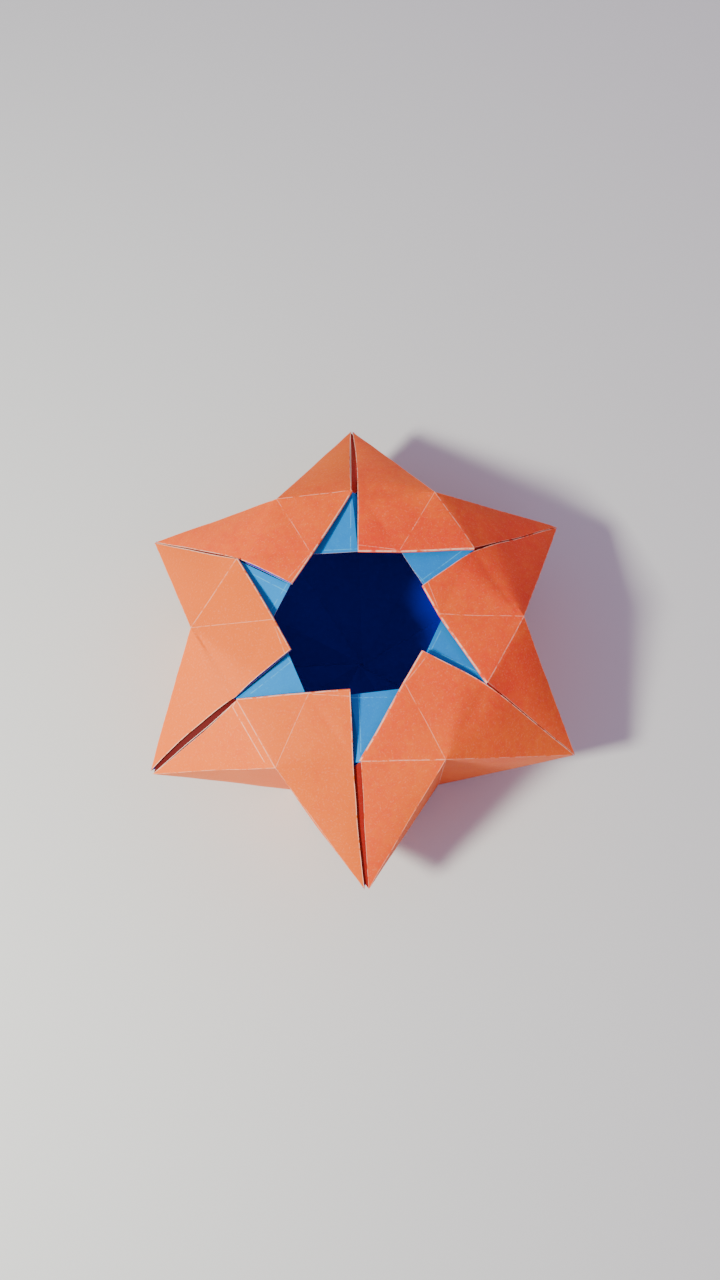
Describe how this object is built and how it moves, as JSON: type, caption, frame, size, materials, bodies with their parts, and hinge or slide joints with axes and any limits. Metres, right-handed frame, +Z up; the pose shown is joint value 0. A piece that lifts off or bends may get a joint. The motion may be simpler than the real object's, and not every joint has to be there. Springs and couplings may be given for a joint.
{
  "type": "star box",
  "caption": "Folded paper star box: pointed hollow arms round a six-sided cup with an open mouth edged by overlapping flaps.",
  "frame": {"origin": "middle of the six-sided base, on the surface it stands on", "axes": "+Z up through the middle of the mouth, +Y out along one arm"},
  "size_m": [0.1568, 0.1808, 0.0626],
  "materials": {
    "paper": "matte orange paper, blue on its reverse"
  },
  "bodies": {
    "root": {"sheet_north": "paper", "sheet_north_east": "paper", "sheet_south_east": "paper", "sheet_south": "paper", "sheet_south_west": "paper", "sheet_north_west": "paper"}
  },
  "joints": []
}
